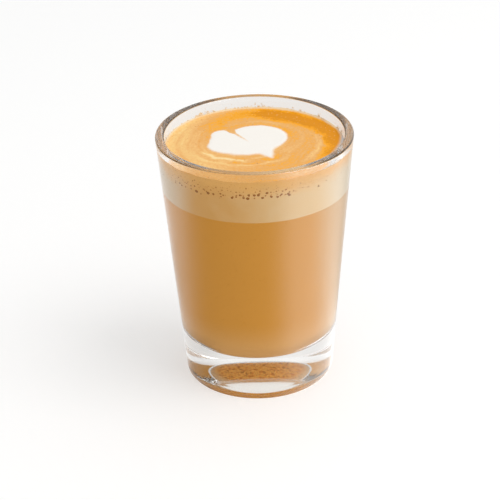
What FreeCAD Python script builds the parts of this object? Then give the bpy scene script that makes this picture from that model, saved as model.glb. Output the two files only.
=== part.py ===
import FreeCAD, Part
import math
import os
import Sketcher

# A cortado in its tumbler. All sizes are in millimetres. The origin is the middle of the
# face the glass stands on, and +Z points up through the drink.

SIZES = [
    # The pressed glass tumbler.
    ("glass_height", 88.4),
    ("rim_diameter", 66.0),
    ("foot_diameter", 50.2),
    ("rim_wall", 3.0),
    ("rim_round", 0.6),
    ("base_thickness", 15.1),
    ("floor_wall", 3.4),
    ("floor_corner", 6.5),
    ("foot_round", 2.5),
    ("foot_ring", 7.1),
    ("hollow_depth", 8.2),
    ("hollow_lip", 4.0),
    # The drink. Depths are measured down from its surface.
    ("headroom", 4.3),
    ("foam_depth", 14.4),
    ("crema_depth", 3.4),
    ("meniscus_rise", 0.8),
    ("meniscus_width", 1.3),
    ("drink_clearance", 0.05),
    # The poured milk heart. Its middle is where the line through both lobe centres
    # crosses its own axis, and each lobe reaches past that axis by the overlap.
    ("heart_width", 26.8),
    ("heart_lobe_overlap", 1.0),
    ("heart_point_length", 19.3),
    ("heart_depth", 2.0),
    ("heart_shift_x", -4.3),
    ("heart_shift_y", 6.3),
    ("heart_turn", 33.0),
    ("heart_clearance", 0.05),
]

AXIS_X = -1
AXIS_Y = -2
START = 1
END = 2
CENTRE = 3

doc = FreeCAD.newDocument("cortado")
sheet = doc.addObject("Spreadsheet::Sheet", "sizes")
for row, (alias, value) in enumerate(SIZES, start=1):
    sheet.set(f"A{row}", alias)
    sheet.set(f"B{row}", str(value))
    sheet.setAlias(f"B{row}", alias)
doc.recompute()
size = {alias: float(sheet.get(alias)) for alias, value in SIZES}

# Heights and radii that the glass and the drink share, as expressions on the sheet.
RIM_RADIUS = "sizes.rim_diameter / 2"
FOOT_RADIUS = "sizes.foot_diameter / 2"
HOLLOW_RADIUS = "(sizes.foot_diameter / 2 - sizes.foot_ring)"
FLARE = "(sizes.rim_diameter - sizes.foot_diameter) / 2 / sizes.glass_height"
BORE_RADIUS_AT_RIM = "(sizes.rim_diameter / 2 - sizes.rim_wall)"
BORE_RADIUS_AT_FLOOR = f"({FOOT_RADIUS} + {FLARE} * sizes.base_thickness - sizes.floor_wall)"
DRINK_BOTTOM = "(sizes.base_thickness + sizes.drink_clearance)"
DRINK_TOP = "(sizes.glass_height - sizes.headroom)"
FOAM_LINE = "(sizes.glass_height - sizes.headroom - sizes.foam_depth)"
CREMA_LINE = "(sizes.glass_height - sizes.headroom - sizes.crema_depth)"
MENISCUS_TOP = "(sizes.glass_height - sizes.headroom + sizes.meniscus_rise)"


def drink_radius(height):
    """Radius of the drink at a height: the tapered bore less the clearance."""
    widening = f"({BORE_RADIUS_AT_RIM} - {BORE_RADIUS_AT_FLOOR})"
    climb = f"({height} - sizes.base_thickness) / (sizes.glass_height - sizes.base_thickness)"
    return f"({BORE_RADIUS_AT_FLOOR} + {widening} * {climb} - sizes.drink_clearance)"


def value_of(expression):
    """The number that an expression on the sheet stands for."""
    return float(sheet.evalExpression(expression))


def new_body(label):
    """A body that stands at the origin, with its own label."""
    body = doc.addObject("PartDesign::Body", label)
    body.Label = label
    body.Placement = FreeCAD.Placement()
    return body


def new_sketch(body, name, role):
    """A sketch on one of the body's own origin planes."""
    sketch = body.newObject("Sketcher::SketchObject", name)
    plane = next(item for item in body.Origin.OriginFeatures if item.Role == role)
    sketch.AttachmentSupport = [(plane, "")]
    sketch.MapMode = "FlatFace"
    return sketch


def bind_length(sketch, name, kind, where, expression):
    """Hold a vertex at a distance from the sketch's origin, bound to the sheet."""
    geometry, vertex = where
    distance = value_of(expression)
    index = sketch.addConstraint(
        Sketcher.Constraint(kind, AXIS_X, START, geometry, vertex, distance))
    sketch.renameConstraint(index, name)
    sketch.setExpression(f"Constraints.{name}", expression)


def hold_vertex(sketch, name, where, radius, height):
    """Place a vertex of a half section. A radius or height of None lies on that axis."""
    geometry, vertex = where
    if radius is None:
        sketch.addConstraint(Sketcher.Constraint("PointOnObject", geometry, vertex, AXIS_Y))
    else:
        bind_length(sketch, f"{name}_radius", "DistanceX", where, radius)
    if height is None:
        sketch.addConstraint(Sketcher.Constraint("PointOnObject", geometry, vertex, AXIS_X))
    else:
        bind_length(sketch, f"{name}_height", "DistanceY", where, height)


def point_at(radius, height):
    """The sketch point for a pair of expressions, where None stands for zero."""
    along = value_of(radius) if radius else 0.0
    up = value_of(height) if height else 0.0
    return FreeCAD.Vector(along, up, 0)


def add_half_section(sketch, corners, arcs):
    """Draw a closed half section through named corners, in order.

    corners holds (name, radius, height). arcs maps a corner's name to how the stretch
    that starts there is curved: "on_axis" has its centre on the upright axis, and
    "above_end" has its centre straight above the next corner.
    """
    points = [point_at(radius, height) for name, radius, height in corners]
    count = len(corners)
    for index, (name, radius, height) in enumerate(corners):
        start = points[index]
        finish = points[(index + 1) % count]
        if name in arcs:
            add_arc(sketch, index, start, finish, arcs[name])
        else:
            sketch.addGeometry(Part.LineSegment(start, finish), False)
    starts = []
    ends = []
    for index, (name, radius, height) in enumerate(corners):
        # An arc's own start and end follow its counterclockwise sense.
        forwards = arcs.get(name) != "above_end"
        starts.append((index, START if forwards else END))
        ends.append((index, END if forwards else START))
    for index in range(count):
        after = (index + 1) % count
        sketch.addConstraint(Sketcher.Constraint("Coincident", *ends[index], *starts[after]))
    for index, (name, radius, height) in enumerate(corners):
        hold_vertex(sketch, name, starts[index], radius, height)
        if arcs.get(name) == "on_axis":
            sketch.addConstraint(Sketcher.Constraint("PointOnObject", index, CENTRE, AXIS_Y))
        if arcs.get(name) == "above_end":
            sketch.addConstraint(Sketcher.Constraint("Vertical", index, CENTRE, *ends[index]))


def add_arc(sketch, index, start, finish, kind):
    """An arc from start to finish whose centre is found from how it is curved."""
    run = finish.x - start.x
    rise = finish.y - start.y
    if kind == "on_axis":
        # The centre has x = 0, at the same distance from both ends.
        centre_y = (finish.x**2 + finish.y**2 - start.x**2 - start.y**2) / (2 * rise)
        centre = FreeCAD.Vector(0, centre_y, 0)
        first = math.atan2(start.y - centre.y, start.x - centre.x)
        last = math.atan2(finish.y - centre.y, finish.x - centre.x)
    else:
        centre_y = finish.y - (run**2 + rise**2) / (2 * rise)
        centre = FreeCAD.Vector(finish.x, centre_y, 0)
        first = math.atan2(finish.y - centre.y, finish.x - centre.x)
        last = math.atan2(start.y - centre.y, start.x - centre.x)
    radius = (start - centre).Length
    circle = Part.Circle(centre, FreeCAD.Vector(0, 0, 1), radius)
    sketch.addGeometry(Part.ArcOfCircle(circle, first, last), False)


def revolve(body, name, sketch):
    """Turn a half section once round the upright axis."""
    turned = body.newObject("PartDesign::Revolution", name)
    turned.Profile = sketch
    turned.ReferenceAxis = (sketch, ["V_Axis"])
    turned.Angle = 360.0
    sketch.Visibility = False
    doc.recompute()
    return turned


def ring_edges(feature, radius, height):
    """Names of the circular edges of a feature at a radius and a height."""
    names = []
    for number, edge in enumerate(feature.Shape.Edges, start=1):
        if edge.Degenerated or not isinstance(edge.Curve, Part.Circle):
            continue
        centre = edge.Curve.Center
        if abs(edge.Curve.Radius - radius) < 1e-4 and abs(centre.z - height) < 1e-4:
            names.append(f"Edge{number}")
    if not names:
        raise RuntimeError(f"{feature.Label} has no ring of radius {radius} at {height}")
    return names


def round_rings(body, name, base, rings, radius):
    """Fillet rings of a feature, given as (radius, height), to a bound radius."""
    fillet = body.newObject("PartDesign::Fillet", name)
    edges = [edge for ring in rings for edge in ring_edges(base, *ring)]
    fillet.Base = (base, edges)
    fillet.setExpression("Radius", radius)
    doc.recompute()
    return fillet


def make_glass():
    """The tumbler: a tapered wall, a heavy base and a domed hollow under the foot."""
    body = new_body("glass")
    sketch = new_sketch(body, "glass_section", "XZ_Plane")
    corners = [
        ("hollow_edge", HOLLOW_RADIUS, None),
        ("hollow_top", None, "sizes.hollow_depth"),
        ("floor_middle", None, "sizes.base_thickness"),
        ("floor_edge", BORE_RADIUS_AT_FLOOR, "sizes.base_thickness"),
        ("rim_inside", BORE_RADIUS_AT_RIM, "sizes.glass_height"),
        ("rim_outside", RIM_RADIUS, "sizes.glass_height"),
        ("foot_edge", FOOT_RADIUS, None),
    ]
    add_half_section(sketch, corners, {"hollow_edge": "on_axis"})
    turned = revolve(body, "glass_turned", sketch)
    height = size["glass_height"]
    rim = [(size["rim_diameter"] / 2, height)]
    rim.append((size["rim_diameter"] / 2 - size["rim_wall"], height))
    rim_limit = "min(sizes.rim_round; sizes.rim_wall * 0.48)"
    rimmed = round_rings(body, "fire_polished_rim", turned, rim, rim_limit)
    foot = [(size["foot_diameter"] / 2, 0.0)]
    footed = round_rings(body, "rounded_foot", rimmed, foot, "sizes.foot_round")
    floor = [(value_of(BORE_RADIUS_AT_FLOOR), size["base_thickness"])]
    floored = round_rings(body, "rounded_floor", footed, floor, "sizes.floor_corner")
    hollow = [(value_of(HOLLOW_RADIUS), 0.0)]
    round_rings(body, "rounded_hollow", floored, hollow, "sizes.hollow_lip")
    return body


def make_coffee():
    """The milky coffee, from the glass's floor up to the foam line."""
    body = new_body("coffee")
    sketch = new_sketch(body, "coffee_section", "XZ_Plane")
    corners = [
        ("bottom_middle", None, DRINK_BOTTOM),
        ("bottom_edge", drink_radius(DRINK_BOTTOM), DRINK_BOTTOM),
        ("top_edge", drink_radius(FOAM_LINE), FOAM_LINE),
        ("top_middle", None, FOAM_LINE),
    ]
    add_half_section(sketch, corners, {})
    turned = revolve(body, "coffee_turned", sketch)
    bottom = value_of(DRINK_BOTTOM)
    ring = [(value_of(drink_radius(DRINK_BOTTOM)), bottom)]
    corner = "sizes.floor_corner - sizes.drink_clearance"
    round_rings(body, "rounded_bottom", turned, ring, corner)
    return body


def make_foam():
    """The pale milk foam between the coffee and the crema."""
    body = new_body("milk_foam")
    sketch = new_sketch(body, "foam_section", "XZ_Plane")
    corners = [
        ("bottom_middle", None, FOAM_LINE),
        ("bottom_edge", drink_radius(FOAM_LINE), FOAM_LINE),
        ("top_edge", drink_radius(CREMA_LINE), CREMA_LINE),
        ("top_middle", None, CREMA_LINE),
    ]
    add_half_section(sketch, corners, {})
    revolve(body, "foam_turned", sketch)
    return body


def draw_heart(body, name, grow):
    """The heart's outline on the drink's surface, enlarged all round by grow.

    Each half is two arcs that meet smoothly at the widest point: a lobe, and a long side
    down to the tip. Both have their centres on the line across the widest points.
    """
    sketch = new_sketch(body, name, "XY_Plane")
    sketch.AttachmentOffset = FreeCAD.Placement(
        FreeCAD.Vector(0, 0, 0), FreeCAD.Rotation(FreeCAD.Vector(0, 0, 1), size["heart_turn"]))
    sketch.setExpression("AttachmentOffset.Base.x", "sizes.heart_shift_x")
    sketch.setExpression("AttachmentOffset.Base.y", "sizes.heart_shift_y")
    sketch.setExpression("AttachmentOffset.Base.z", DRINK_TOP)
    half_width = f"(sizes.heart_width / 2 + {grow})"
    lobe_radius = f"((sizes.heart_width / 2 + sizes.heart_lobe_overlap) / 2 + {grow})"
    point_length = f"(sizes.heart_point_length + {grow})"
    wide = value_of(half_width)
    lobe = value_of(lobe_radius)
    point = value_of(point_length)
    side = (wide**2 + point**2) / (2 * wide)
    lobe_x = wide - lobe
    notch_y = math.sqrt(lobe**2 - lobe_x**2)
    up = FreeCAD.Vector(0, 0, 1)
    notch_angle = math.atan2(notch_y, -lobe_x)
    tip_angle = math.atan2(-point, side - wide)
    # Right half, then left half. Arcs run counterclockwise from START to END.
    right_lobe = Part.Circle(FreeCAD.Vector(lobe_x, 0, 0), up, lobe)
    right_side = Part.Circle(FreeCAD.Vector(wide - side, 0, 0), up, side)
    left_lobe = Part.Circle(FreeCAD.Vector(-lobe_x, 0, 0), up, lobe)
    left_side = Part.Circle(FreeCAD.Vector(side - wide, 0, 0), up, side)
    sketch.addGeometry(Part.ArcOfCircle(right_lobe, 0, notch_angle), False)
    sketch.addGeometry(Part.ArcOfCircle(right_side, tip_angle, 0), False)
    sketch.addGeometry(Part.ArcOfCircle(left_lobe, math.pi - notch_angle, math.pi), False)
    sketch.addGeometry(Part.ArcOfCircle(left_side, math.pi, math.pi - tip_angle), False)
    right = {"lobe": 0, "side": 1, "wide": START, "notch": END, "tip": START, "meet": END}
    left = {"lobe": 2, "side": 3, "wide": END, "notch": START, "tip": END, "meet": START}
    for number, half in enumerate((right, left)):
        widest = (half["lobe"], half["wide"])
        sketch.addConstraint(Sketcher.Constraint("Coincident", *widest, half["side"], half["meet"]))
        sketch.addConstraint(Sketcher.Constraint("PointOnObject", *widest, AXIS_X))
        for piece in ("lobe", "side"):
            sketch.addConstraint(Sketcher.Constraint("PointOnObject", half[piece], CENTRE, AXIS_X))
        sketch.addConstraint(Sketcher.Constraint("PointOnObject", half["lobe"], half["notch"], AXIS_Y))
        index = sketch.addConstraint(Sketcher.Constraint("Radius", half["lobe"], lobe))
        sketch.renameConstraint(index, f"lobe_radius_{number}")
        sketch.setExpression(f"Constraints.lobe_radius_{number}", lobe_radius)
    bind_heart_reach(sketch, "wide_right", "DistanceX", (0, START), 1, half_width, wide)
    bind_heart_reach(sketch, "wide_left", "DistanceX", (2, END), -1, half_width, wide)
    bind_heart_reach(sketch, "tip_down", "DistanceY", (1, START), -1, point_length, point)
    sketch.addConstraint(Sketcher.Constraint("PointOnObject", 1, START, AXIS_Y))
    sketch.addConstraint(Sketcher.Constraint("Coincident", 1, START, 3, END))
    sketch.Visibility = False
    doc.recompute()
    return sketch


def bind_heart_reach(sketch, name, kind, where, side, expression, distance):
    """Hold how far a point of the heart lies from its middle, to its plus or minus side."""
    outwards = (AXIS_X, START, *where)
    inwards = (*where, AXIS_X, START)
    ends = outwards if side > 0 else inwards
    index = sketch.addConstraint(Sketcher.Constraint(kind, *ends, distance))
    sketch.renameConstraint(index, name)
    sketch.setExpression(f"Constraints.{name}", expression)


def make_crema():
    """The thin brown crema: it climbs the wall a little and has the heart's recess."""
    body = new_body("crema")
    sketch = new_sketch(body, "crema_section", "XZ_Plane")
    corners = [
        ("bottom_middle", None, CREMA_LINE),
        ("bottom_edge", drink_radius(CREMA_LINE), CREMA_LINE),
        ("meniscus", drink_radius(MENISCUS_TOP), MENISCUS_TOP),
        ("flat_edge", f"({drink_radius(DRINK_TOP)} - sizes.meniscus_width)", DRINK_TOP),
        ("top_middle", None, DRINK_TOP),
    ]
    add_half_section(sketch, corners, {"meniscus": "above_end"})
    turned = revolve(body, "crema_turned", sketch)
    outline = draw_heart(body, "heart_recess", "sizes.heart_clearance")
    recess = body.newObject("PartDesign::Pocket", "heart_pocket")
    recess.Profile = outline
    recess.setExpression("Length", "sizes.heart_depth + sizes.heart_clearance")
    doc.recompute()
    removed = turned.Shape.Volume - recess.Shape.Volume
    if removed < 100:
        raise RuntimeError("the heart's recess cuts nothing out of the crema")
    return body


def make_heart():
    """The heart of white milk foam, level with the crema round it."""
    body = new_body("milk_heart")
    outline = draw_heart(body, "heart_outline", "0")
    pad = body.newObject("PartDesign::Pad", "heart_pad")
    pad.Profile = outline
    pad.setExpression("Length", "sizes.heart_depth")
    pad.Reversed = True
    doc.recompute()
    return body


def check(bodies):
    """Stop if anything failed to build, before any file is written."""
    for item in doc.Objects:
        if "Invalid" in item.State or "Error" in item.State:
            raise RuntimeError(f"{item.Name} failed: {item.State}")
    for body in bodies:
        if body.Shape.isNull() or not body.Shape.isValid() or len(body.Shape.Solids) != 1:
            raise RuntimeError(f"{body.Label} is not one valid solid")
        box = body.Shape.BoundBox
        volume = body.Shape.Volume / 1000.0
        print(f"{body.Label}: {volume:.2f} cm3, z {box.ZMin:.2f} to {box.ZMax:.2f}")


parts = [make_glass(), make_coffee(), make_foam(), make_crema(), make_heart()]
doc.recompute()
check(parts)
os.makedirs("parts", exist_ok=True)
for part in parts:
    part.Shape.exportStep(f"parts/{part.Label}.step")
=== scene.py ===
import math
import random

import bmesh
import bpy
from mathutils import Matrix, Vector, noise


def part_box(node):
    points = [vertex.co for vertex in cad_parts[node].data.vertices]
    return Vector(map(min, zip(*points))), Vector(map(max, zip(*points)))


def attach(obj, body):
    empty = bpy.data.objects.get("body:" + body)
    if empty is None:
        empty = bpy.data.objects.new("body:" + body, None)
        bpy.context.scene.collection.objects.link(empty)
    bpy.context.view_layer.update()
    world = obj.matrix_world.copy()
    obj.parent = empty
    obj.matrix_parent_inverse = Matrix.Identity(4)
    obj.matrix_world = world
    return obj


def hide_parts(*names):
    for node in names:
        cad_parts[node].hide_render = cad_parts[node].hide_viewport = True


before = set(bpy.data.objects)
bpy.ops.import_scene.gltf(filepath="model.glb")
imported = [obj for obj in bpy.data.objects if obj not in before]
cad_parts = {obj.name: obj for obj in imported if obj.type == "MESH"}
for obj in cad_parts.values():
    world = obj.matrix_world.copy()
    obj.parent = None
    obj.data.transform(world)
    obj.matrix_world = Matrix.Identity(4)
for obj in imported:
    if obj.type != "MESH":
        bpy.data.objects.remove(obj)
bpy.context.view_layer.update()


# ---- The tumbler ----------------------------------------------------------------------
# A plain tumbler of clear soda glass, pressed in one piece: a tapered wall with a
# fire-polished rim on a thick base that is hollow underneath. It stands on the ring round
# that hollow, and the drink was poured straight into it.

MM = 0.001

glass_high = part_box("glass")[1]
coffee_low, coffee_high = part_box("coffee")
crema_low, crema_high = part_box("crema")

rim_height = glass_high.z
foot_radius = 25.1 * MM
rim_radius = 33.0 * MM
rim_round = 0.6 * MM
foot_round = 2.5 * MM
floor_round = 6.5 * MM
hollow_radius = 18.0 * MM
hollow_depth = 8.2 * MM
hollow_lip = 4.0 * MM
drink_gap = 0.05 * MM
floor_height = coffee_low.z - drink_gap
press_wave = 0.008 * MM
press_wave_length = 14 * MM
tumbler_sides = 320
sharp_from = math.radians(50)
thick_below = floor_height + 9 * MM
scuff_height = 0.5 * MM
scuff_roughness = 0.35
haze_roughness = 0.05
polish_roughness = 0.03


def bore_radius(height):
    """Radius of the inside of the wall at a height, read off the drink that fills it."""
    flare = (crema_high.x - coffee_high.x) / (crema_high.z - coffee_high.z)
    return coffee_high.x + drink_gap + flare * (height - coffee_high.z)


def rounded_corner(before, corner, after, radius, steps):
    """Points of the arc that rounds a corner between two straight stretches."""
    corner = Vector(corner)
    back = (Vector(before) - corner).normalized()
    ahead = (Vector(after) - corner).normalized()
    half = back.angle(ahead) / 2
    centre = corner + (back + ahead).normalized() * (radius / math.sin(half))
    start = corner + back * (radius / math.tan(half)) - centre
    end = corner + ahead * (radius / math.tan(half)) - centre
    turn = start.angle_signed(end)
    points = []
    for step in range(steps + 1):
        spoke = Matrix.Rotation(-turn * step / steps, 2) @ start
        points.append(tuple(centre + spoke))
    return points


def straight(start, end, steps):
    """Points along a straight stretch, without its two ends."""
    span = Vector(end) - Vector(start)
    return [tuple(Vector(start) + span * step / steps) for step in range(1, steps)]


def skin(build, rings):
    """Join rings of points with faces. A ring is a full round or a single point."""
    for inner, outer in zip(rings, rings[1:]):
        steps = max(len(inner), len(outer))
        for step in range(steps):
            after = (step + 1) % steps
            if len(inner) == 1:
                build.faces.new((inner[0], outer[step], outer[after]))
            elif len(outer) == 1:
                build.faces.new((inner[step], outer[0], inner[after]))
            else:
                build.faces.new((inner[step], outer[step], outer[after], inner[after]))


def closed_piece(name, build):
    """Make an object of the finished faces, smooth but for its sharp edges."""
    bmesh.ops.recalc_face_normals(build, faces=build.faces)
    mesh = bpy.data.meshes.new(name)
    build.to_mesh(mesh)
    build.free()
    mesh.shade_smooth()
    mesh.set_sharp_from_angle(angle=sharp_from)
    piece = bpy.data.objects.new(name, mesh)
    bpy.context.scene.collection.objects.link(piece)
    return piece


def turned(name, section, sides, uneven):
    """A piece turned round the upright axis from a half section of (radius, height).

    uneven(angle, radius, height) gives each point its slightly other radius and height.
    """
    build = bmesh.new()
    rings = []
    for radius, height in section:
        ring = []
        for side in range(sides if radius > 1e-7 else 1):
            angle = 2 * math.pi * side / sides
            out, up = uneven(angle, radius, height)
            ring.append(build.verts.new((out * math.cos(angle), out * math.sin(angle), up)))
        rings.append(ring)
    skin(build, rings)
    return closed_piece(name, build)


def show(tree, surface):
    """Send a surface to the material's output."""
    output = next(item for item in tree.nodes if item.type == "OUTPUT_MATERIAL")
    tree.links.new(surface, output.inputs["Surface"])


def new_material(name):
    """An empty node material with its output and its Principled shader."""
    material = bpy.data.materials.new(name)
    material.use_nodes = True
    tree = material.node_tree
    tree.nodes.clear()
    tree.nodes.new("ShaderNodeOutputMaterial")
    shader = tree.nodes.new("ShaderNodeBsdfPrincipled")
    show(tree, shader.outputs["BSDF"])
    return material, tree, shader


def node(tree, kind, inputs=None, **settings):
    """Add a shader node. inputs maps a socket to a plain value or to what feeds it."""
    made = tree.nodes.new("ShaderNode" + kind)
    for setting, value in settings.items():
        setattr(made, setting, value)
    for socket, value in (inputs or {}).items():
        if isinstance(value, bpy.types.NodeSocket):
            tree.links.new(value, made.inputs[socket])
        else:
            made.inputs[socket].default_value = value
    return made


def sums(tree, operation, *values):
    """A Math node's result."""
    return node(tree, "Math", dict(enumerate(values)), operation=operation).outputs[0]


def eased(tree, value, low, high):
    """0 below low, 1 above high and a smooth climb between."""
    inputs = {"Value": value, "From Min": low, "From Max": high}
    return node(tree, "MapRange", inputs, interpolation_type="SMOOTHSTEP").outputs[0]


def blend_colours(tree, share, first, second):
    """A mix of two colours by a share that changes over the surface."""
    mix = node(tree, "Mix", data_type="RGBA")
    for socket, value in ((mix.inputs["Factor"], share), (mix.inputs[6], first),
                          (mix.inputs[7], second)):
        if isinstance(value, bpy.types.NodeSocket):
            tree.links.new(value, socket)
        else:
            socket.default_value = value
    return mix.outputs[2]


def blend_surfaces(tree, share, first, second):
    """A mix of two surfaces."""
    return node(tree, "MixShader", {0: share, 1: first, 2: second}).outputs[0]


def pressed(angle, radius, height):
    """The slight waves that pressing leaves in the outside of the wall."""
    if radius < bore_radius(height) + rim_round:
        return radius, height
    around = Vector((math.cos(angle), math.sin(angle), 0)) * radius
    place = (around + Vector((0, 0, height))) / press_wave_length
    return radius + press_wave * noise.noise(place), height


def tumbler_section():
    """Half section of the tumbler, from the top of its hollow round to the floor's middle."""
    dome = (hollow_radius**2 + hollow_depth**2) / (2 * hollow_depth)
    edge_slope = math.asin(hollow_radius / dome)
    dome_end = hollow_radius - hollow_lip * math.tan(edge_slope / 2) * math.cos(edge_slope)
    section = []
    for step in range(40):
        radius = dome_end * step / 40
        section.append((radius, math.sqrt(dome**2 - radius**2) - dome + hollow_depth))
    hollow_edge = (hollow_radius, 0)
    up_the_dome = (hollow_radius - math.cos(edge_slope), math.sin(edge_slope))
    foot = (foot_radius, 0)
    section += rounded_corner(up_the_dome, hollow_edge, foot, hollow_lip, 12)
    rim_out = (rim_radius, rim_height)
    rim_in = (bore_radius(rim_height), rim_height)
    floor_edge = (bore_radius(floor_height), floor_height)
    floor_middle = (0, floor_height)
    section += rounded_corner(hollow_edge, foot, rim_out, foot_round, 14)
    upper = rounded_corner(foot, rim_out, rim_in, rim_round, 12)
    section += straight(section[-1], upper[0], 44)
    section += upper
    upper = rounded_corner(rim_out, rim_in, floor_edge, rim_round, 12)
    section += upper
    lower = rounded_corner(rim_in, floor_edge, floor_middle, floor_round, 24)
    section += straight(upper[-1], lower[0], 24)
    section += lower
    section += straight(lower[-1], floor_middle, 8)
    section.append(floor_middle)
    return section


tumbler = turned("tumbler", tumbler_section(), tumbler_sides, pressed)
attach(tumbler, "root")
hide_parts("glass")

clear_glass, tree, shader = new_material("clear_pressed_glass")
shader.inputs["Transmission Weight"].default_value = 1
shader.inputs["IOR"].default_value = 1.5
place = node(tree, "TexCoord").outputs["Object"]
spot = node(tree, "SeparateXYZ", {0: place}).outputs
# The thick base is tinted darker at its left and right only: painted shade there, beyond the little
# light that thick glass really takes.
thick = eased(tree, spot["Z"], thick_below, thick_below - 4 * MM)
right_side = eased(tree, spot["X"], 8 * MM, 20 * MM)
left_side = eased(tree, spot["X"], -10 * MM, -20 * MM)
thick = sums(tree, "MULTIPLY", thick, sums(tree, "MAXIMUM", right_side, left_side))
tint = blend_colours(tree, thick, (0.945, 0.935, 0.915, 1), (0.71, 0.69, 0.67, 1))
tree.links.new(tint, shader.inputs["Base Color"])
smear = node(tree, "TexNoise", {"Vector": place, "Scale": 60, "Detail": 5, "Distortion": 1.5})
haze = eased(tree, smear.outputs[0], 0.52, 0.8)
polish = sums(tree, "MULTIPLY_ADD", haze, haze_roughness, polish_roughness)
# The ring it stands on is scuffed.
scuffed = eased(tree, spot["Z"], scuff_height, 0.1 * MM)
rough = sums(tree, "MULTIPLY_ADD", scuffed, scuff_roughness, polish)
tree.links.new(rough, shader.inputs["Roughness"])
ripple = node(tree, "TexNoise", {"Vector": place, "Scale": 90, "Detail": 1})
waves = node(tree, "Bump", {"Height": ripple.outputs[0], "Strength": 0.03, "Distance": 1 * MM})
tree.links.new(waves.outputs[0], shader.inputs["Normal"])
# Lamps and bounced light reach the drink straight through the wall.
path = node(tree, "LightPath")
clear = node(tree, "BsdfTransparent").outputs[0]
lit = blend_surfaces(tree, path.outputs["Is Shadow Ray"], shader.outputs[0], clear)
show(tree, blend_surfaces(tree, path.outputs["Is Diffuse Ray"], lit, clear))
tumbler.data.materials.append(clear_glass)


# ---- The milky coffee -----------------------------------------------------------------
# Espresso let down with warm milk: an even, opaque light brown from the glass's floor up
# to the foam. It was poured in, and it wets the wall.

soak = 0.06 * MM
foam_line = coffee_high.z
foam_line_wave = 0.10 * MM
drink_sides = 256
coffee_density = 0.893
foam_density = 0.78


def paint(red, green, blue):
    """A colour given in 0 to 255 steps, as the shader's linear light."""
    linear = []
    for step in (red, green, blue):
        share = step / 255
        linear.append(share / 12.92 if share <= 0.04045 else ((share + 0.055) / 1.055) ** 2.4)
    return (*linear, 1)


def foam_line_at(angle, height):
    """The foam line with its slight unevenness round the glass."""
    place = Vector((math.cos(angle), math.sin(angle), 0)) * 3
    return height + foam_line_wave * noise.noise(place)


def coffee_shape(angle, radius, height):
    """Lift the top edge of the coffee to the uneven foam line."""
    if height > foam_line - 0.01 * MM:
        return radius, foam_line_at(angle, height)
    return radius, height


def coffee_section():
    """Half section of the coffee, from the middle of its bottom to the middle of its top."""
    bottom = floor_height - soak
    corner = (bore_radius(bottom) + soak, bottom)
    top = (bore_radius(foam_line) + soak, foam_line)
    rounded = rounded_corner((0, bottom), corner, top, floor_round, 24)
    section = [(0, bottom)]
    section += straight((0, bottom), rounded[0], 8)
    section += rounded
    section += straight(rounded[-1], top, 30)
    section.append(top)
    section += straight(top, (0, foam_line), 6)
    section.append((0, foam_line))
    return section


coffee = turned("milky_coffee", coffee_section(), drink_sides, coffee_shape)
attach(coffee, "root")
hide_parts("coffee")


def new_group(name, inputs, outputs):
    """A shader node group with named sockets, given as (name, kind, plain value)."""
    tree = bpy.data.node_groups.new(name, "ShaderNodeTree")
    for title, kind, value in inputs:
        socket = tree.interface.new_socket(title, in_out="INPUT", socket_type=f"NodeSocket{kind}")
        if value is not None:
            socket.default_value = value
    for title, kind in outputs:
        tree.interface.new_socket(title, in_out="OUTPUT", socket_type=f"NodeSocket{kind}")
    return tree, tree.nodes.new("NodeGroupInput").outputs, tree.nodes.new("NodeGroupOutput").inputs


def place_group(tree, group, inputs):
    """Place a node group in a material, with that material's own values."""
    placed = tree.nodes.new("ShaderNodeGroup")
    placed.node_tree = group
    for socket, value in inputs.items():
        if isinstance(value, bpy.types.NodeSocket):
            tree.links.new(value, placed.inputs[socket])
        else:
            placed.inputs[socket].default_value = value
    return placed.outputs


# Fine grain of coffee oils and tiny bubbles, used by everything in the drink.
grain_group, given, result = new_group(
    "foam_grain",
    [("Position", "Vector", None), ("Cell Size", "Float", 0.4), ("Patch Size", "Float", 6.0),
     ("Unevenness", "Float", 0.5)],
    [("Cells", "Float"), ("Patches", "Float"), ("Height", "Float")])
cell_scale = sums(grain_group, "DIVIDE", 1.0, given["Cell Size"])
patch_scale = sums(grain_group, "DIVIDE", 1.0, given["Patch Size"])
cells = node(grain_group, "TexVoronoi", {"Vector": given["Position"], "Scale": cell_scale})
fine = node(grain_group, "TexNoise", {"Vector": given["Position"], "Scale": cell_scale, "Detail": 3})
broad = node(grain_group, "TexNoise", {"Vector": given["Position"], "Scale": patch_scale,
                                       "Detail": 4})
spread = sums(grain_group, "SUBTRACT", broad.outputs[0], 0.5)
patches = sums(grain_group, "MULTIPLY_ADD", spread, given["Unevenness"], 0.5)
grain_group.links.new(fine.outputs[0], result["Cells"])
grain_group.links.new(patches, result["Patches"])
bumps = sums(grain_group, "MULTIPLY_ADD", cells.outputs["Distance"], -0.6, fine.outputs[0])
grain_group.links.new(bumps, result["Height"])


def vectors(tree, operation, *values):
    """A Vector Math node's result."""
    made = node(tree, "VectorMath", dict(enumerate(values)), operation=operation)
    return made.outputs["Value" if operation in ("LENGTH", "DOT_PRODUCT") else "Vector"]


def coordinate(tree, place, axis):
    """One coordinate of a place."""
    return node(tree, "SeparateXYZ", {0: place}).outputs[axis]


def place_in_mm(tree):
    """The object's own coordinates, in millimetres."""
    place = node(tree, "TexCoord").outputs["Object"]
    grown = node(tree, "VectorMath", {0: place, "Scale": 1 / MM}, operation="SCALE")
    return grown.outputs[0]


def placed_grain(tree, position, cell_size, patch_size, unevenness):
    """The grain, with a material's own values."""
    return place_group(tree, grain_group, {
        "Position": position, "Cell Size": cell_size, "Patch Size": patch_size,
        "Unevenness": unevenness})


def drink_finish(tree, shader, colour, roughness, gloss):
    """Set the colour and the sheen of something in the drink."""
    tree.links.new(colour, shader.inputs["Base Color"])
    shader.inputs["Roughness"].default_value = roughness
    shader.inputs["Specular IOR Level"].default_value = gloss


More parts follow.
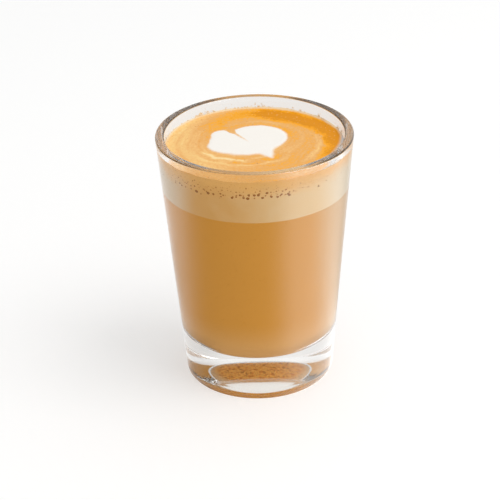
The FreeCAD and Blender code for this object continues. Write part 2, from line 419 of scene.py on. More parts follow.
def fine_bumps(tree, shader, grain, strength, depth):
    """Raise the grain as fine bumps."""
    soft = node(tree, "Bump", {"Height": grain["Height"], "Strength": strength,
                               "Distance": depth})
    tree.links.new(soft.outputs[0], shader.inputs["Normal"])


def wet_contact(tree, shader, position, density, share=1.0):
    """Where the drink wets the wall, light that meets it at a shallow angle turns back.

    density is the drink's refractive index over the glass's; foam is the lighter one. The
    front of the wall turns no light back.
    """
    around = vectors(tree, "NORMALIZE", vectors(tree, "MULTIPLY", position, (1, 1, 0)))
    front = eased(tree, coordinate(tree, around, "Y"), -0.62, -0.90)
    wet = sums(tree, "SUBTRACT", 1.0, front)
    meets = node(tree, "Fresnel", {"IOR": density})
    turned_back = sums(tree, "MULTIPLY", meets.outputs[0], sums(tree, "MULTIPLY", wet, share))
    mirror = node(tree, "BsdfAnisotropic", {"Roughness": 0.0}).outputs[0]
    show(tree, blend_surfaces(tree, turned_back, shader.outputs[0], mirror))


milky_coffee, tree, shader = new_material("milky_coffee")
position = place_in_mm(tree)
grain = placed_grain(tree, position, 0.5, 18.0, 0.6)
floor = floor_height / MM
height = coordinate(tree, position, "Z")
body = blend_colours(tree, grain["Patches"], paint(210, 146, 55), paint(220, 153, 63))
flecks = eased(tree, grain["Cells"], 0.62, 0.75)
body = blend_colours(tree, flecks, body, paint(196, 130, 46))
# It is paler low down, and to the right it is painted paler and greyer, a painted reflection of the
# bright table.
paler_low_down = sums(tree, "MULTIPLY", eased(tree, height, floor + 16.0, floor + 1.0), 0.42)
body = blend_colours(tree, paler_low_down, body, paint(230, 188, 136))
painted_reflection_right = sums(tree, "MULTIPLY", eased(tree, coordinate(tree, position, "X"), 16.0, 26.0), 0.5)
body = blend_colours(tree, painted_reflection_right, body, paint(202, 178, 136))
# On the glass's floor lie fine grounds. The underside is painted brighter and more orange than the
# body, as painted light, and it is paler towards its edge.
specks = node(tree, "TexNoise", {"Vector": position, "Scale": 0.9, "Detail": 4}).outputs[0]
specks = eased(tree, specks, 0.50, 0.64)
bottom = blend_colours(tree, specks, paint(246, 180, 92), paint(206, 130, 58))
grounds = node(tree, "TexVoronoi", {"Vector": position, "Scale": 0.65})
ground_size = coordinate(tree, grounds.outputs["Color"], "X")
ground_size = sums(tree, "MULTIPLY_ADD", ground_size, 0.68, -0.24)
ground = sums(tree, "LESS_THAN", grounds.outputs["Distance"], ground_size)
ground = sums(tree, "MULTIPLY", ground, 0.65)
bottom = blend_colours(tree, ground, bottom, paint(122, 62, 18))
off_middle = vectors(tree, "LENGTH", vectors(tree, "MULTIPLY", position, (1, 1, 0)))
outer = sums(tree, "MULTIPLY", eased(tree, off_middle, 14.0, 18.5), 0.75)
bottom = blend_colours(tree, outer, bottom, paint(222, 192, 152))
# Painted light: the underside takes the brighter colours above.
underside = eased(tree, height, floor + 1.0, floor + 0.3)
drink_finish(tree, shader, blend_colours(tree, underside, body, bottom), 0.5, 0.1)
fine_bumps(tree, shader, grain, 0.15, 0.1 * MM)
# Higher up the wall is wetted by a thin foamy film, low down by coffee alone.
density = node(tree, "MapRange", {"Value": height, "From Min": floor + 14.0,
                                  "From Max": floor + 34.0, "To Min": coffee_density,
                                  "To Max": 0.80})
wet_contact(tree, shader, position, density.outputs[0])
coffee.data.materials.append(milky_coffee)


# ---- The milk foam --------------------------------------------------------------------
# The pale layer of fine wet foam that has risen out of the coffee. It fills the glass
# from the foam line to the crema and shows its small bubbles against the wall.

crema_line = crema_low.z


def foam_shape(angle, radius, height):
    """Set the bottom edge of the foam on the uneven foam line."""
    if height < foam_line + 0.01 * MM:
        return radius, foam_line_at(angle, height)
    return radius, height


def foam_section():
    """Half section of the foam layer."""
    bottom = (bore_radius(foam_line) + soak, foam_line)
    top = (bore_radius(crema_line) + soak, crema_line)
    section = [(0, foam_line)]
    section += straight((0, foam_line), bottom, 6)
    section.append(bottom)
    section += straight(bottom, top, 12)
    section.append(top)
    section.append((0, crema_line))
    return section


foam = turned("milk_foam_layer", foam_section(), drink_sides, foam_shape)
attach(foam, "root")
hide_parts("milk_foam")

# The colour of the foam by height: cream at the foam line, golden where the crema begins. Across it
# is painted light: deeper on the left, paler on the right.
layer_group, given, result = new_group(
    "foam_by_height",
    [("Position", "Vector", None), ("Cells", "Float", 0.5), ("Patches", "Float", 0.5)],
    [("Color", "Color")])
place = node(layer_group, "SeparateXYZ", {0: given["Position"]}).outputs
wander = sums(layer_group, "MULTIPLY_ADD", given["Patches"], 7.0, -3.5)
climb = sums(layer_group, "ADD", place["Z"], wander)
warm = eased(layer_group, climb, crema_line / MM - 3.0, crema_line / MM + 3.5)
# Painted shade and light: a deeper cream on the shaded left, a paler one on the lit right.
shaded_left = eased(layer_group, sums(layer_group, "MULTIPLY_ADD", wander, 2.0, place["X"]), 16.0, -16.0)
lit_cream = blend_colours(layer_group, given["Patches"], paint(230, 191, 136), paint(228, 197, 150))
shaded_cream = blend_colours(layer_group, given["Patches"], paint(216, 160, 84), paint(222, 172, 108))
cream = blend_colours(layer_group, shaded_left, lit_cream, shaded_cream)
# Painted reflection: both sides turn paler and greyer.
painted_side_reflection = eased(layer_group, sums(layer_group, "ABSOLUTE", place["X"]), 18.0, 28.0)
cream = blend_colours(layer_group, sums(layer_group, "MULTIPLY", painted_side_reflection, 0.65), cream,
                      paint(214, 200, 174))
golden = blend_colours(layer_group, given["Cells"], paint(228, 168, 88), paint(240, 188, 116))
layered = blend_colours(layer_group, warm, cream, golden)
pores = node(layer_group, "TexVoronoi", {"Vector": given["Position"], "Scale": 1.25})
pore_size = coordinate(layer_group, pores.outputs["Color"], "X")
pore_size = sums(layer_group, "MULTIPLY_ADD", pore_size, 0.42, -0.20)
pore = sums(layer_group, "LESS_THAN", pores.outputs["Distance"], pore_size)
near_top = eased(layer_group, place["Z"], crema_line / MM - 5.0, crema_line / MM - 0.5)
pore = sums(layer_group, "MULTIPLY", sums(layer_group, "MULTIPLY", pore, near_top), 0.55)
layered = blend_colours(layer_group, pore, layered, paint(160, 104, 48))
layer_group.links.new(layered, result["Color"])

milk_foam, tree, shader = new_material("fine_milk_foam")
position = place_in_mm(tree)
grain = placed_grain(tree, position, 0.35, 7.0, 0.9)
layered = place_group(tree, layer_group, {"Position": position, "Cells": grain["Cells"],
                                          "Patches": grain["Patches"]})
drink_finish(tree, shader, layered["Color"], 0.6, 0.1)
fine_bumps(tree, shader, grain, 0.2, 0.1 * MM)
wet_contact(tree, shader, position, foam_density)
foam.data.materials.append(milk_foam)


# ---- The crema ------------------------------------------------------------------------
# The orange-brown top of the drink: espresso crema drawn out in rings as the milk was
# poured through it. It lies flat, climbs the wall a little, and the white heart is let
# into it.

heart_low, heart_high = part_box("milk_heart")
drink_top = heart_high.z
climb_width = 0.7 * MM
climb_rise = crema_high.z - drink_top
ripple_height = 0.05 * MM
recess_depth = 0.6 * MM
top_step = 0.32 * MM
crema_sides = 320

# The poured heart as round blobs of milk that ran together, in millimetres from the
# glass's axis: x, y and radius.
right_lobe = (1.0, 5.6, 10.0)
left_lobe = (-10.4, 8.0, 4.1)
left_cheek = (-8.9, 0.8, 7.0)
belly = (-3.6, 0.8, 8.9)
tip_root = (2.8, -4.3, 3.9)
tip_end = (5.5, -10.6, 0.25)
notch_mouth = (-8.3, 15.6, 2.0)
notch_end = (-7.6, 10.8, 0.4)
streak_points = [(-7.9, 11.4), (-3.4, 4.4), (-0.2, -0.6)]


def blob(x, y, first, last):
    """Distance to a tapered blob that runs from one circle to another."""
    run = Vector((last[0] - first[0], last[1] - first[1]))
    away = Vector((x - first[0], y - first[1]))
    share = 0.0
    if run.length_squared > 0:
        share = min(max(away.dot(run) / run.length_squared, 0.0), 1.0)
    radius = first[2] + (last[2] - first[2]) * share
    return (away - run * share).length - radius


def run_together(first, second, reach):
    """Join two distances the way two pools of milk run together."""
    share = min(max(0.5 + 0.5 * (second - first) / reach, 0.0), 1.0)
    return second + (first - second) * share - reach * share * (1 - share)


def milk_at(x, y):
    """How far a place lies inside the poured milk, in millimetres; negative outside."""
    right = blob(x, y, right_lobe, right_lobe)
    left = run_together(blob(x, y, left_lobe, left_cheek), blob(x, y, belly, belly), 2.0)
    tip = blob(x, y, tip_root, tip_end)
    whole = run_together(run_together(right, left, 2.5), tip, 2.0)
    notch = blob(x, y, notch_mouth, notch_end)
    inside = run_together(-whole, notch, 0.8)
    waver = noise.noise(Vector((x, y, 0)) / 3.5) * 0.35
    return inside + waver


def streak_at(x, y):
    """The thin line of crema that the last of the pour pulled in from the notch."""
    strongest = 0.0
    for number, (start, end) in enumerate(zip(streak_points, streak_points[1:])):
        run = Vector(end) - Vector(start)
        away = Vector((x, y)) - Vector(start)
        share = min(max(away.dot(run) / run.length_squared, 0.0), 1.0)
        off = (away - run * share).length
        along = (number + share) / 2
        width = 1.10 - 0.35 * along
        here = (1 - along) ** 0.45 * math.exp(-((off / width) ** 2))
        strongest = max(strongest, here)
    return strongest


def surface_at(x, y, angle):
    """Height of the drink's surface above its flat level, both from x and y in metres."""
    radius = math.hypot(x, y)
    wall = bore_radius(drink_top) + soak
    edge = math.exp(-max(wall - radius, 0) / climb_width)
    ragged = 1 + 0.35 * noise.noise(Vector((math.cos(angle), math.sin(angle), 0.3)) * 9)
    rings = noise.noise(Vector((x, y, 0)) / (5 * MM))
    return climb_rise * edge * ragged + ripple_height * rings


def crema_piece(name, sides):
    """The crema as one closed disc: rings of points on top, a short wall and a flat bottom."""
    wall = bore_radius(drink_top) + soak
    build = bmesh.new()
    milk_layer = build.verts.layers.float.new("milk")
    count = round(wall / top_step)
    rings = []
    for number in range(count + 1):
        flat_radius = wall * number / count
        ring = []
        for side in range(sides if number else 1):
            angle = 2 * math.pi * side / sides
            x = flat_radius * math.cos(angle)
            y = flat_radius * math.sin(angle)
            milk = milk_at(x / MM, y / MM)
            dip = recess_depth * min(max((milk - 0.3) / 1.2, 0.0), 1.0)
            height = drink_top + surface_at(x, y, angle) - dip
            out = (bore_radius(height) + soak) / wall if number == count else 1
            point = build.verts.new((x * out, y * out, height))
            point[milk_layer] = min(milk, 1.5) - 2.0 * streak_at(x / MM, y / MM)
            ring.append(point)
        rings.append(ring)
    lower = []
    middle = []
    for side in range(sides):
        angle = 2 * math.pi * side / sides
        for ring, height in ((middle, (crema_line + drink_top) / 2), (lower, crema_line)):
            radius = bore_radius(height) + soak
            point = build.verts.new((radius * math.cos(angle), radius * math.sin(angle), height))
            point[milk_layer] = -20
            ring.append(point)
    bottom = [build.verts.new((0, 0, crema_line))]
    skin(build, [*rings, middle, lower, bottom])
    return closed_piece(name, build)


crema = crema_piece("crema_top", crema_sides)
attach(crema, "root")
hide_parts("crema")

# One sweep of the pour: an arc of warmer or paler crema with soft ends and broken edges.
sweep_group, given, result = new_group(
    "pour_sweep",
    [("Position", "Vector", None), ("Centre", "Vector", (0, 0, 0)), ("Radius", "Float", 20.0),
     ("Towards", "Vector", (1, 0, 0)), ("Cosine of Spread", "Float", 0.5),
     ("Half Width", "Float", 2.0)],
    [("Mask", "Float")])
spoke = vectors(sweep_group, "SUBTRACT", given["Position"], given["Centre"])
reach = vectors(sweep_group, "LENGTH", spoke)
off = sums(sweep_group, "ABSOLUTE", sums(sweep_group, "SUBTRACT", reach, given["Radius"]))
across = eased(sweep_group, sums(sweep_group, "DIVIDE", off, given["Half Width"]), 1.0, 0.0)
facing = vectors(sweep_group, "DOT_PRODUCT", spoke, given["Towards"])
cosine = sums(sweep_group, "DIVIDE", facing, sums(sweep_group, "MAXIMUM", reach, 0.01))
lengthwise = eased(sweep_group, cosine, given["Cosine of Spread"], 1.0)
lengthwise = sums(sweep_group, "POWER", lengthwise, 0.6)
sweep_group.links.new(sums(sweep_group, "MULTIPLY", across, lengthwise), result["Mask"])

plain_warmth = 0.52
pour_middle = (-3.0, 3.0, 0)
wall_reach = 30.0
# Each sweep: centre x and y, arc radius, direction and spread in degrees, half width, and
# how much warmer (or paler, below zero) it makes the crema.
sweeps = [
    (0, 0, 25.5, 44, 50, 7.5, 0.38),
    (0, 0, 27.5, 4, 44, 5.0, 0.46),
    (0, 0, 25.5, 88, 62, 6.5, 0.32),
    (0, 0, 15.5, 70, 70, 3.5, 0.12),
    (0, 0, 22.0, -40, 60, 8.0, 0.03),
    (0, 0, 24.0, -14, 30, 5.0, 0.16),
    (-3, 3, 16.5, -58, 26, 2.6, 0.14),
    (-7, -14, 0.8, 0, 179, 2.2, 0.24),
    (-14, 17, 3.0, 315, 120, 4.0, 0.16),
    (2, 0, 19.5, -6, 44, 1.9, -0.34),
    (-3, 3.5, 16.2, 240, 34, 1.6, -0.60),
    (-3, 3.5, 19.6, 256, 60, 1.2, -0.26),
    (-3, 3.5, 14.4, 292, 24, 0.9, -0.30),
    (0, 0, 24.0, 188, 66, 9.0, -0.20),
    (0, 0, 28.4, 168, 60, 2.4, -0.20),
    (0, 0, 26.5, 126, 36, 3.0, -0.12),
]

# The colours of the surface as poured: crema in rings round white milk. Crema and heart
# share it.
pour_group, given, result = new_group(
    "poured_surface",
    [("Position", "Vector", None), ("Milk", "Float", -20.0), ("Cells", "Float", 0.5),
     ("Edge Softness", "Float", 0.5)],
    [("Color", "Color")])
flat = vectors(pour_group, "MULTIPLY", given["Position"], (1, 1, 0))
bend = node(pour_group, "TexNoise", {"Vector": flat, "Scale": 0.2, "Detail": 3})
shift = vectors(pour_group, "SUBTRACT", bend.outputs["Color"], (0.5, 0.5, 0.5))
shift = vectors(pour_group, "MULTIPLY", shift, (4.2, 4.2, 4.2))
drawn = vectors(pour_group, "ADD", flat, shift)
reach = vectors(pour_group, "LENGTH", flat)
to_wall = sums(pour_group, "MAXIMUM", sums(pour_group, "SUBTRACT", wall_reach, reach), 0.0)
to_milk = sums(pour_group, "MAXIMUM", sums(pour_group, "MULTIPLY", given["Milk"], -1.0), 0.0)
both = sums(pour_group, "MAXIMUM", sums(pour_group, "ADD", to_wall, to_milk), 0.5)
# 0 at the milk and 1 at the wall, with rings between them.
ring = sums(pour_group, "DIVIDE", to_milk, both)
heading = vectors(pour_group, "SUBTRACT", drawn, pour_middle)
heading = node(pour_group, "SeparateXYZ", {0: vectors(pour_group, "NORMALIZE", heading)}).outputs


def varied(value, pattern, strength):
    """Vary a value by a pattern, about as much up as down."""
    change = sums(pour_group, "SUBTRACT", pattern, 0.5)
    return sums(pour_group, "MULTIPLY_ADD", change, strength, value)


def drawn_rings(rings, turns, detail):
    """Noise drawn out along the rings that the pour left round the milk."""
    ahead = sums(pour_group, "MULTIPLY", heading["X"], turns)
    aside = sums(pour_group, "MULTIPLY", heading["Y"], turns)
    out = sums(pour_group, "MULTIPLY", ring, rings)
    place = node(pour_group, "CombineXYZ", {0: out, 1: ahead, 2: aside}).outputs[0]
    streaks = {"Vector": place, "Scale": 1.0, "Detail": detail}
    return node(pour_group, "TexNoise", streaks).outputs[0]


warmth = plain_warmth
for centre_x, centre_y, radius, towards, spread, half_width, strength in sweeps:
    angle = math.radians(towards)
    sweep = place_group(pour_group, sweep_group, {
        "Position": drawn, "Centre": (centre_x, centre_y, 0), "Radius": radius,
        "Towards": (math.cos(angle), math.sin(angle), 0),
        "Cosine of Spread": math.cos(math.radians(spread)), "Half Width": half_width})
    warmth = sums(pour_group, "MULTIPLY_ADD", sweep["Mask"], strength, warmth)
warmth = varied(warmth, drawn_rings(6.0, 0.9, 3), 0.60)
warmth = varied(warmth, drawn_rings(26.0, 1.5, 5), 0.34)
mottle = node(pour_group, "TexNoise", {"Vector": flat, "Scale": 1.1, "Detail": 6}).outputs[0]
warmth = varied(warmth, mottle, 0.55)
warmth = varied(warmth, given["Cells"], 0.35)
shades = node(pour_group, "ValToRGB", {0: warmth})
ramp = shades.color_ramp
stops = [(0.0, paint(250, 220, 162)), (0.2, paint(246, 203, 130)), (0.4, paint(240, 186, 116)),
         (0.56, paint(234, 173, 98)), (0.72, paint(248, 174, 52)), (0.90, paint(240, 158, 16)),
         (1.0, paint(224, 144, 18))]
while len(ramp.elements) < len(stops):
    ramp.elements.new(0.5)
for element, (position, colour) in zip(ramp.elements, stops):
    element.position = position
    element.color = colour
feather = node(pour_group, "TexNoise", {"Vector": flat, "Scale": 1.6, "Detail": 3}).outputs[0]
feathered = varied(given["Milk"], feather, 0.9)
# The milk's edge is softer towards its point.
softer = node(pour_group, "MapRange", {"Value": coordinate(pour_group, flat, "Y"), "From Min": 2.0,
                                       "From Max": -8.0, "To Min": 1.0, "To Max": 2.0})
softness = sums(pour_group, "MULTIPLY", given["Edge Softness"], softer.outputs[0])
milk = eased(pour_group, feathered, sums(pour_group, "MULTIPLY", softness, -1.0), softness)
white = blend_colours(pour_group, given["Cells"], paint(244, 238, 229), paint(250, 247, 241))
pour_group.links.new(blend_colours(pour_group, milk, shades.outputs[0], white), result["Color"])


def poured_colour(tree, position, grain, milk):
    """The poured surface's colour at a material's position."""
    poured = place_group(tree, pour_group, {"Position": position, "Milk": milk,
                                            "Cells": grain["Cells"], "Edge Softness": 0.55})
    return poured["Color"]


crema_finish, tree, shader = new_material("drawn_out_crema")
position = place_in_mm(tree)
grain = placed_grain(tree, position, 0.3, 7.0, 0.9)
milk = node(tree, "Attribute", attribute_name="milk").outputs["Fac"]
poured = poured_colour(tree, position, grain, milk)
layered = place_group(tree, layer_group, {"Position": position, "Cells": grain["Cells"],
                                          "Patches": grain["Patches"]})
# Where it climbs the wall at the back it is a pale film.
climbed = sums(tree, "MULTIPLY_ADD", sums(tree, "SUBTRACT", grain["Cells"], 0.5), 0.5,
               coordinate(tree, position, "Z"))
film = eased(tree, climbed, drink_top / MM + 0.20, drink_top / MM + 0.60)
film = sums(tree, "MULTIPLY", film, eased(tree, coordinate(tree, position, "Y"), -4.0, 10.0))
top = blend_colours(tree, film, poured, paint(240, 216, 176))
side = eased(tree, milk, -17.0, -19.0)
drink_finish(tree, shader, blend_colours(tree, side, top, layered["Color"]), 0.55, 0.1)
fine_bumps(tree, shader, grain, 0.25, 0.1 * MM)
wet_contact(tree, shader, position, foam_density, side)
crema.data.materials.append(crema_finish)


# ---- The milk heart -------------------------------------------------------------------
# A heart of white steamed milk, the usual latte figure, poured into the crema from a jug
# held low. It floats level with the crema, swells very slightly and fades out at its edge.

heart_skirt = 0.5
heart_swell = 0.10 * MM
heart_sink = 0.02 * MM
heart_sides = 256
heart_rings = 44
edge_error = 6e-6
heart_bottom = heart_low.z
heart_middle = Vector((-3.0, 1.0))


def milk_edge(angle, level):
    """How far from the heart's middle the milk reaches in one direction, in millimetres."""
    near, far = 0.5, 24.0
    while far - near > edge_error:
        reach = (near + far) / 2
        spot = heart_middle + Vector((math.cos(angle), math.sin(angle))) * reach
        if milk_at(*spot) > level:
            near = reach
        else:
            far = reach
    return near


def heart_piece(name, sides, count):
    """The heart as a thin closed cake of milk whose top follows the drink's surface."""
    build = bmesh.new()
    milk_layer = build.verts.layers.float.new("milk")
    top = []
    for number in range(count + 1):
        ring = []
        for side in range(sides if number else 1):
            angle = 2 * math.pi * side / sides
            reach = milk_edge(angle, -heart_skirt) * number / count
            x = heart_middle.x + math.cos(angle) * reach
            y = heart_middle.y + math.sin(angle) * reach
            milk = milk_at(x, y)
            rise = min(max((milk + heart_skirt) / 2.0, 0.0), 1.0)
            swell = heart_swell * (rise * rise * (3 - 2 * rise)) - heart_sink
            lift = surface_at(x * MM, y * MM, math.atan2(y, x))
            point = build.verts.new((x * MM, y * MM, drink_top + lift + swell))
            point[milk_layer] = min(milk, 1.5) - 2.0 * streak_at(x, y)
            ring.append(point)
        top.append(ring)
    low = []
    for point in top[-1]:
        copy = build.verts.new((point.co.x, point.co.y, heart_bottom))
        copy[milk_layer] = point[milk_layer]
        low.append(copy)
    middle = build.verts.new((heart_middle.x * MM, heart_middle.y * MM, heart_bottom))
    middle[milk_layer] = 1.5
    skin(build, [*top, low, [middle]])
    return closed_piece(name, build)


heart = heart_piece("poured_heart", heart_sides, heart_rings)
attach(heart, "root")
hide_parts("milk_heart")

white_milk, tree, shader = new_material("white_steamed_milk")
position = place_in_mm(tree)
grain = placed_grain(tree, position, 0.3, 7.0, 0.9)
milk = node(tree, "Attribute", attribute_name="milk").outputs["Fac"]
poured = poured_colour(tree, position, grain, milk)
drink_finish(tree, shader, poured, 0.5, 0.25)
fine_bumps(tree, shader, grain, 0.25, 0.1 * MM)
heart.data.materials.append(white_milk)


# ---- The bubbles against the wall -----------------------------------------------------
# Air bubbles that rose through the foam and are pressed flat against the glass. The larger
# ones stand in a level row under the crema, and small ones are scattered above it.

bubble_row = 79.3 * MM
lowest_bubble = bubble_row - 1.2 * MM
highest_bubble = drink_top - 0.3 * MM
pressed_sink = 0.04 * MM
pressed_rise = 0.05 * MM
bubble_rows = [
    # How many, from and to round the glass in degrees, rise above the row and its scatter,
    # smallest and largest width, all in millimetres.
    (24, -148, -66, 0.0, 0.35, 0.55, 1.30),
    (12, -104, -66, 0.9, 0.50, 0.50, 1.10),
    (24, -170, 190, 0.3, 0.60, 0.35, 0.90),
    (70, -150, -40, 2.0, 1.00, 0.22, 0.60),
    (300, -180, 180, 2.6, 1.20, 0.14, 0.34),
]


def dome(build, rim_layer, tone_layer, middle, out, width, sink, rise, tone, sides=10):
    """A low closed dome of one bubble, with its rim sunk into what it sits on."""
    across = out.cross(Vector((0, 0, 1)) if abs(out.z) < 0.9 else Vector((1, 0, 0))).normalized()
    ahead = out.cross(across)
    foot = -sink / rise
    rows = []
    for share, lift in ((0.0, 1.0), (0.55, 0.72), (0.86, 0.30), (1.0, foot), (0.0, foot)):
        row = []
        for step in range(sides if share else 1):
            angle = 2 * math.pi * step / sides
            side = across * math.cos(angle) + ahead * math.sin(angle)
            point = build.verts.new(middle + side * (share * width / 2) + out * (rise * lift))
            point[rim_layer] = share
            point[tone_layer] = tone
            row.append(point)
        rows.append(row)
    skin(build, rows)


def joined_domes(name, domes):
    """One mesh of many bubbles, each given as the arguments of dome."""
    build = bmesh.new()
    rim_layer = build.verts.layers.float.new("rim")
    tone_layer = build.verts.layers.float.new("tone")
    for bubble in domes:
        dome(build, rim_layer, tone_layer, *bubble)
    return closed_piece(name, build)


chance = random.Random(7)
wall_domes = []
for count, start, end, rise, scatter, smallest, largest in bubble_rows:
    for number in range(count):
        angle = math.radians(start + (end - start) * (number + chance.random()) / count)
        height = bubble_row + chance.gauss(rise, scatter) * MM
        height = min(max(height, lowest_bubble), highest_bubble)
        width = (smallest + (largest - smallest) * chance.random() ** 1.6) * MM
        out = Vector((math.cos(angle), math.sin(angle), 0))
        middle = out * (bore_radius(height) + soak) + Vector((0, 0, height))
        faint = min(max(1.3 - width / (0.7 * MM), 0.0), 1.0)
        wall_domes.append((middle, out, width, pressed_sink, pressed_rise, faint))
wall_bubbles = joined_domes("wall_bubbles", wall_domes)
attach(wall_bubbles, "root")

bubble_wall, tree, shader = new_material("bubbles_at_the_wall")
rim = node(tree, "Attribute", attribute_name="rim").outputs["Fac"]
tone = node(tree, "Attribute", attribute_name="tone").outputs["Fac"]
position = place_in_mm(tree)
grain = placed_grain(tree, position, 0.3, 5.0, 0.9)
# Painted shade: each bubble is darker at its rim than in its middle.
middle_shade = blend_colours(tree, tone, paint(156, 92, 36), paint(206, 128, 54))
shaded_bubble_rim = blend_colours(tree, tone, paint(112, 60, 20), paint(180, 104, 40))
shade = blend_colours(tree, eased(tree, rim, 0.35, 0.95), middle_shade, shaded_bubble_rim)
shade = blend_colours(tree, sums(tree, "MULTIPLY", grain["Cells"], 0.3), shade, paint(214, 158, 92))
drink_finish(tree, shader, shade, 0.35, 0.2)
wet_contact(tree, shader, position, foam_density)
wall_bubbles.data.materials.append(bubble_wall)


# ---- The bubbles on the crema ---------------------------------------------------------
# Tiny bubbles and specks of coffee that float on the crema. They gather near the wall and
# leave the poured milk almost clear.

floating_count = 1500
floating_sink = 0.06 * MM
clear_of_wall = 0.5 * MM
floating_domes = []
while len(floating_domes) < floating_count:
    angle = chance.uniform(-math.pi, math.pi)
    reach = (bore_radius(drink_top) - clear_of_wall) * chance.random() ** 0.42
    x, y = reach * math.cos(angle), reach * math.sin(angle)
    in_milk = milk_at(x / MM, y / MM) > -0.4
    if in_milk and chance.random() < 0.985:
        continue
    if noise.noise(Vector((x, y, 0)) / (3 * MM)) < chance.uniform(-0.5, 0.4):
        continue
    width = (0.10 + 0.32 * chance.random() ** 3) * MM
    middle = Vector((x, y, drink_top + surface_at(x, y, angle)))
    floating_domes.append((middle, Vector((0, 0, 1)), width, floating_sink, width * 0.3,
                           chance.random(), 7))
floating = joined_domes("floating_bubbles", floating_domes)
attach(floating, "root")

bubble_top, tree, shader = new_material("bubbles_on_the_crema")
rim = node(tree, "Attribute", attribute_name="rim").outputs["Fac"]
tone = node(tree, "Attribute", attribute_name="tone").outputs["Fac"]
grain = placed_grain(tree, place_in_mm(tree), 0.3, 5.0, 0.9)
shade = blend_colours(tree, eased(tree, tone, 0.35, 0.9), paint(250, 214, 150), paint(206, 128, 40))
dark = eased(tree, tone, 0.975, 0.99)
shade = blend_colours(tree, dark, shade, paint(120, 66, 24))
shade = blend_colours(tree, sums(tree, "MULTIPLY", grain["Cells"], 0.3), shade, paint(236, 176, 92))
shade = blend_colours(tree, sums(tree, "MULTIPLY", rim, 0.25), shade, paint(190, 116, 40))
drink_finish(tree, shader, shade, 0.3, 0.35)
floating.data.materials.append(bubble_top)


# ---- The foam left on the wall --------------------------------------------------------
# A thin, broken film of foam that the pour splashed on the inside of the wall, just above
# the drink and mostly at the back. It has dried to fine dots and lace.

film_start = math.radians(2)
film_end = math.radians(186)
film_bottom = drink_top + 0.25 * MM
film_top = drink_top + 3.0 * MM
film_cell = 0.20 * MM
film_thick = 0.06 * MM


def film_here(angle, height):
    """Whether the film has a patch here: dense at the drink, lace and dots above it."""
    share = (height - film_bottom) / (film_top - film_bottom)
    spot = Vector((math.cos(angle), math.sin(angle), 0)) * bore_radius(height)
    spot.z = height
    broad = noise.noise(spot / (7 * MM))
    lace = noise.noise(spot / (0.9 * MM)) * 0.6 + noise.noise(spot / (0.35 * MM)) * 0.6
    ends = min(angle - film_start, film_end - angle) / math.radians(25)
    return lace + 0.6 * broad > 1.05 * share - 0.10 - 0.5 * min(ends - 0.5, 0)


film_mesh = bpy.data.meshes.new("wall_foam_film")
build = bmesh.new()
columns = round((film_end - film_start) * bore_radius(drink_top) / film_cell)
levels = round((film_top - film_bottom) / film_cell)
corners = {}


def film_corner(column, level):
    """The film's corner point on the wall, made once."""
    if (column, level) not in corners:
        angle = film_start + (film_end - film_start) * column / columns
        height = film_bottom + film_cell * level
        radius = bore_radius(height) - film_thick / 2
        corners[column, level] = build.verts.new(
            (radius * math.cos(angle), radius * math.sin(angle), height))
    return corners[column, level]


for column in range(columns):
    for level in range(levels):
        angle = film_start + (film_end - film_start) * (column + 0.5) / columns
        if film_here(angle, film_bottom + film_cell * (level + 0.5)):
            build.faces.new((film_corner(column, level), film_corner(column, level + 1),
                             film_corner(column + 1, level + 1), film_corner(column + 1, level)))
build.to_mesh(film_mesh)
build.free()
film_mesh.shade_smooth()
wall_film = bpy.data.objects.new("wall_foam_film", film_mesh)
bpy.context.scene.collection.objects.link(wall_film)
thicken = wall_film.modifiers.new("thickness", "SOLIDIFY")
thicken.thickness = film_thick
thicken.offset = 0
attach(wall_film, "root")

dried_foam, tree, shader = new_material("foam_film_on_the_wall")
grain = placed_grain(tree, place_in_mm(tree), 0.3, 4.0, 1.2)
shade = blend_colours(tree, grain["Patches"], paint(236, 214, 178), paint(226, 190, 136))
shade = blend_colours(tree, eased(tree, grain["Cells"], 0.5, 0.7), shade, paint(246, 236, 216))
drink_finish(tree, shader, shade, 0.6, 0.5)
fine_bumps(tree, shader, grain, 0.3, 0.05 * MM)
wall_film.data.materials.append(dried_foam)


# ---- The table, the light and the camera ----------------------------------------------
# A plain pale table top, a pale surround and soft light from the right, with the view a
# little from above.

floor_drop = 0.1 * MM
view_height = glass_high.z / 2
view_distance = 0.7071
view_down = math.radians(27.32)
view_roll = math.radians(-1.37)
view_lens = 149.46
view_shift = (-0.0144, 0.0026)
window_side = 0.6
window_watts = 2.9
window_place = Vector((0.48, -0.22, 0.88))
bounces_in_glass = 40
bounces_in_all = 60
table_side = 6

bpy.ops.mesh.primitive_plane_add(size=table_side, location=(0, 0, -floor_drop))
table = bpy.context.object
table.name = "table_top"
pale, tree, shader = new_material("pale_table_top")
position = place_in_mm(tree)
speckle = node(tree, "TexNoise", {"Vector": position, "Scale": 0.4, "Detail": 3})
colour = blend_colours(tree, speckle.outputs[0], (0.78, 0.78, 0.78, 1), (0.82, 0.82, 0.81, 1))
tree.links.new(colour, shader.inputs["Base Color"])
shader.inputs["Roughness"].default_value = 0.7
path = node(tree, "LightPath")
lift = sums(tree, "MULTIPLY", path.outputs["Is Camera Ray"], 0.22)
lift = sums(tree, "MULTIPLY_ADD", path.outputs["Is Transmission Ray"], 0.08, lift)
away = vectors(tree, "LENGTH", position)
# Painted light: seen through the glass, the table under the foot ring glows brighter.
lit_under_foot = sums(tree, "MULTIPLY", eased(tree, away, 17.0, 20.0), eased(tree, away, 27.0, 25.0))
lit_under_foot = sums(tree, "MULTIPLY", lit_under_foot, path.outputs["Is Transmission Ray"])
lift = sums(tree, "MULTIPLY_ADD", lit_under_foot, 0.4, lift)
shader.inputs["Emission Color"].default_value = (1, 1, 1, 1)
tree.links.new(lift, shader.inputs["Emission Strength"])
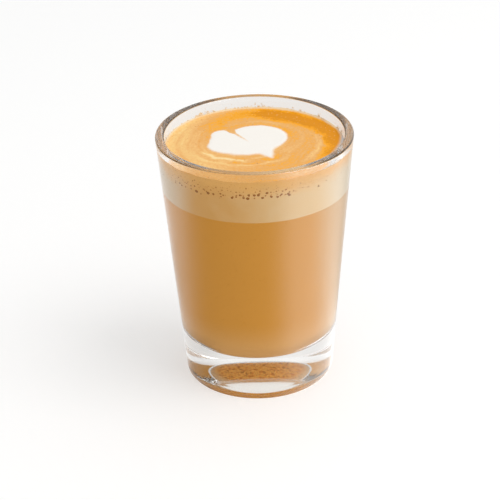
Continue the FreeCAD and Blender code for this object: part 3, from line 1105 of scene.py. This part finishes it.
# Mirrored in the glass, the table is bright to the right and behind and in shade in front.
around = vectors(tree, "NORMALIZE", position)
shaded = vectors(tree, "DOT_PRODUCT", around, (-0.47, -0.88, 0))
to_window = vectors(tree, "DOT_PRODUCT", around, (0.94, -0.34, 0))
brightest = sums(tree, "MULTIPLY_ADD", eased(tree, to_window, 0.4, 0.95), 1.3, 0.75)
to_left = vectors(tree, "DOT_PRODUCT", around, (-0.95, 0.30, 0))
far_left = sums(tree, "MULTIPLY", eased(tree, to_left, 0.2, 0.9), eased(tree, away, 80.0, 130.0))
brightest = sums(tree, "MULTIPLY_ADD", far_left, 0.2, brightest)
pool = sums(tree, "MULTIPLY_ADD", eased(tree, shaded, 0.95, 0.25), brightest, 0.15)
mirrored = node(tree, "Emission", {"Color": (1, 1, 1, 1), "Strength": pool}).outputs[0]
show(tree, blend_surfaces(tree, path.outputs["Is Glossy Ray"], shader.outputs[0], mirrored))
table.data.materials.append(pale)

world = bpy.data.worlds.new("pale_surround")
bpy.context.scene.world = world
world.use_nodes = True
tree = world.node_tree
tree.nodes.clear()
output = tree.nodes.new("ShaderNodeOutputWorld")
path = node(tree, "LightPath")
seen = sums(tree, "MAXIMUM", path.outputs["Is Camera Ray"], path.outputs["Is Transmission Ray"])
direction = node(tree, "TexCoord").outputs["Generated"]
towards = vectors(tree, "DOT_PRODUCT", direction, (0.80, -0.25, 0.55))
glow = eased(tree, towards, -0.6, 1.0)
ambient = sums(tree, "MULTIPLY_ADD", glow, 0.44, 0.53)
level = node(tree, "Mix", {0: seen, 2: ambient, 3: 1.0}).outputs[0]
background = node(tree, "Background", {"Color": (1, 1, 1, 1), "Strength": level})
tree.links.new(background.outputs[0], output.inputs["Surface"])

drink_middle = Vector((0, 0, view_height))
window = bpy.data.lights.new("window_right", "AREA")
window.shape = "RECTANGLE"
window.size = window_side
window.size_y = window_side
window.energy = window_watts
window_frame = bpy.data.objects.new("window_right", window)
bpy.context.scene.collection.objects.link(window_frame)
window_frame.location = window_place
to_drink = drink_middle - window_place
window_frame.rotation_euler = to_drink.to_track_quat("-Z", "Y").to_euler()

camera = bpy.data.cameras.new("view")
camera.sensor_width = 36
camera.lens = view_lens
camera.shift_x, camera.shift_y = view_shift
camera.clip_start = 0.01
viewer = bpy.data.objects.new("view", camera)
bpy.context.scene.collection.objects.link(viewer)
bpy.context.scene.camera = viewer
back = Vector((0, -math.cos(view_down), math.sin(view_down)))
right = Vector((1, 0, 0))
up = back.cross(right)
leaning_right = right * math.cos(view_roll) + up * math.sin(view_roll)
leaning_up = up * math.cos(view_roll) - right * math.sin(view_roll)
stance = Matrix((leaning_right, leaning_up, back)).transposed().to_4x4()
stance.translation = drink_middle + back * view_distance
viewer.matrix_world = stance
bpy.context.scene.view_settings.view_transform = "Standard"
bpy.context.scene.cycles.glossy_bounces = bounces_in_glass
bpy.context.scene.cycles.transmission_bounces = bounces_in_glass
bpy.context.scene.cycles.max_bounces = bounces_in_all
